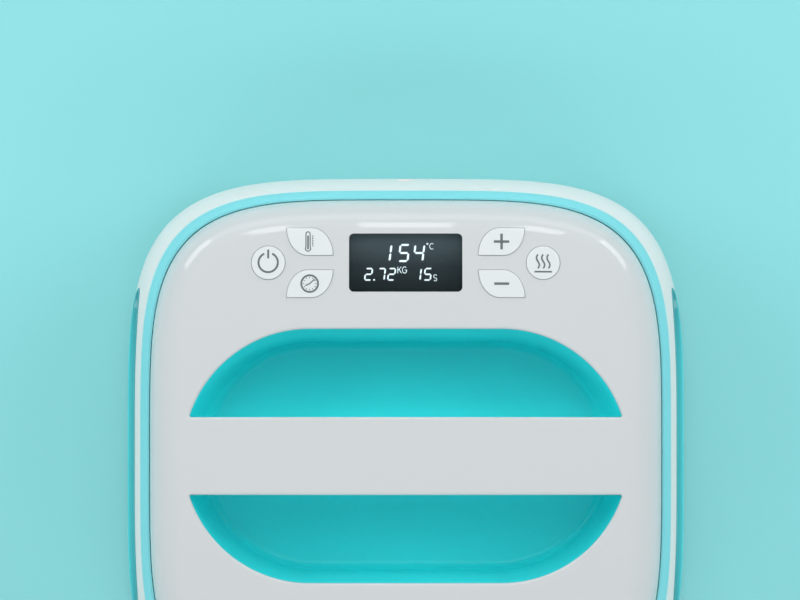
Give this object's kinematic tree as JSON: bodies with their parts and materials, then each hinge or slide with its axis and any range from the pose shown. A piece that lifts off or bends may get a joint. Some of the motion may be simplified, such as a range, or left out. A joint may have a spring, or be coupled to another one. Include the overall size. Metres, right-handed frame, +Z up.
{
  "type": "handheld heat press",
  "caption": "Square handheld heat press with a bar handle across a deep well, a display, sprung keys, side finger grips and a flat heated plate underneath.",
  "frame": {"origin": "centre of the pressing face, which lies on z = 0", "axes": "+Z up away from the work, +Y towards the display end, +X to the right with the display end away from the user"},
  "size_m": [0.2728, 0.272, 0.1179],
  "materials": {
    "white_gloss": "high gloss white moulding",
    "white_skirt": "satin white moulding",
    "light_blue": "soft satin light blue",
    "blue_green": "gloss blue-green moulding",
    "key_white": "gloss white key",
    "switch_stem": "dark red switch plunger",
    "clear_cover": "smoked clear cover",
    "lcd": "dark display panel",
    "dark_resin": "heat-resistant dark moulding",
    "light_resin": "plain moulding",
    "board": "green board",
    "plate_alloy": "cast, coated face",
    "sheet_steel": "zinc plated",
    "heater_steel": "heat-tinted tube",
    "felt": "mineral felt",
    "copper": "windings"
  },
  "bodies": {
    "press": {"heat_plate": "plate_alloy", "heating_element": "heater_steel", "thermostat_cutout": "sheet_steel", "thermal_fuse": "sheet_steel", "temperature_probe": "sheet_steel", "plate_frame": "dark_resin", "insulation_pad": "felt", "heat_shield": "sheet_steel", "plate_posts": "sheet_steel", "load_cells": "sheet_steel", "load_cell_holders": "light_resin", "chassis_plate": "light_resin", "lower_housing": "white_skirt", "grip_liner_left": "blue_green", "grip_liner_right": "blue_green", "trim_ring": "light_blue", "top_shell": "white_gloss", "well_liner": "blue_green", "handle_base": "blue_green", "handle_stiffener": "sheet_steel", "handle_pillars": "light_resin", "display_window": "clear_cover", "lcd_panel": "lcd", "lcd_frame": "dark_resin", "control_board": "board", "tact_switches": "dark_resin", "buzzer": "dark_resin", "ribbon_cable": "light_resin", "power_board": "board", "relay": "dark_resin", "transformer": "copper", "mains_capacitor": "light_resin", "heat_sink": "plate_alloy", "terminal_block": "light_resin", "cord_gland": "dark_resin", "frame_screws": "sheet_steel", "ledge_screws": "sheet_steel", "chassis_screws": "sheet_steel", "handle_screws": "sheet_steel", "board_screws": "sheet_steel"},
    "power_key_unit": {"power_key": "key_white", "power_key_plunger": "switch_stem"},
    "temperature_key_unit": {"temperature_key": "key_white", "temperature_key_plunger": "switch_stem"},
    "timer_key_unit": {"timer_key": "key_white", "timer_key_plunger": "switch_stem"},
    "plus_key_unit": {"plus_key": "key_white", "plus_key_plunger": "switch_stem"},
    "minus_key_unit": {"minus_key": "key_white", "minus_key_plunger": "switch_stem"},
    "mode_key_unit": {"mode_key": "key_white", "mode_key_plunger": "switch_stem"}
  },
  "joints": [
    {"name": "power_key_press", "type": "slide", "parent": "press", "child": "power_key_unit", "axis": [0, 0, -1], "range_m": [0, 0.0008], "stiffness_N_per_m": 800, "springref_m": -0.002},
    {"name": "temperature_key_press", "type": "slide", "parent": "press", "child": "temperature_key_unit", "axis": [0, 0, -1], "range_m": [0, 0.0008], "stiffness_N_per_m": 800, "springref_m": -0.002},
    {"name": "timer_key_press", "type": "slide", "parent": "press", "child": "timer_key_unit", "axis": [0, 0, -1], "range_m": [0, 0.0008], "stiffness_N_per_m": 800, "springref_m": -0.002},
    {"name": "plus_key_press", "type": "slide", "parent": "press", "child": "plus_key_unit", "axis": [0, 0, -1], "range_m": [0, 0.0008], "stiffness_N_per_m": 800, "springref_m": -0.002},
    {"name": "minus_key_press", "type": "slide", "parent": "press", "child": "minus_key_unit", "axis": [0, 0, -1], "range_m": [0, 0.0008], "stiffness_N_per_m": 800, "springref_m": -0.002},
    {"name": "mode_key_press", "type": "slide", "parent": "press", "child": "mode_key_unit", "axis": [0, 0, -1], "range_m": [0, 0.0008], "stiffness_N_per_m": 800, "springref_m": -0.002}
  ]
}
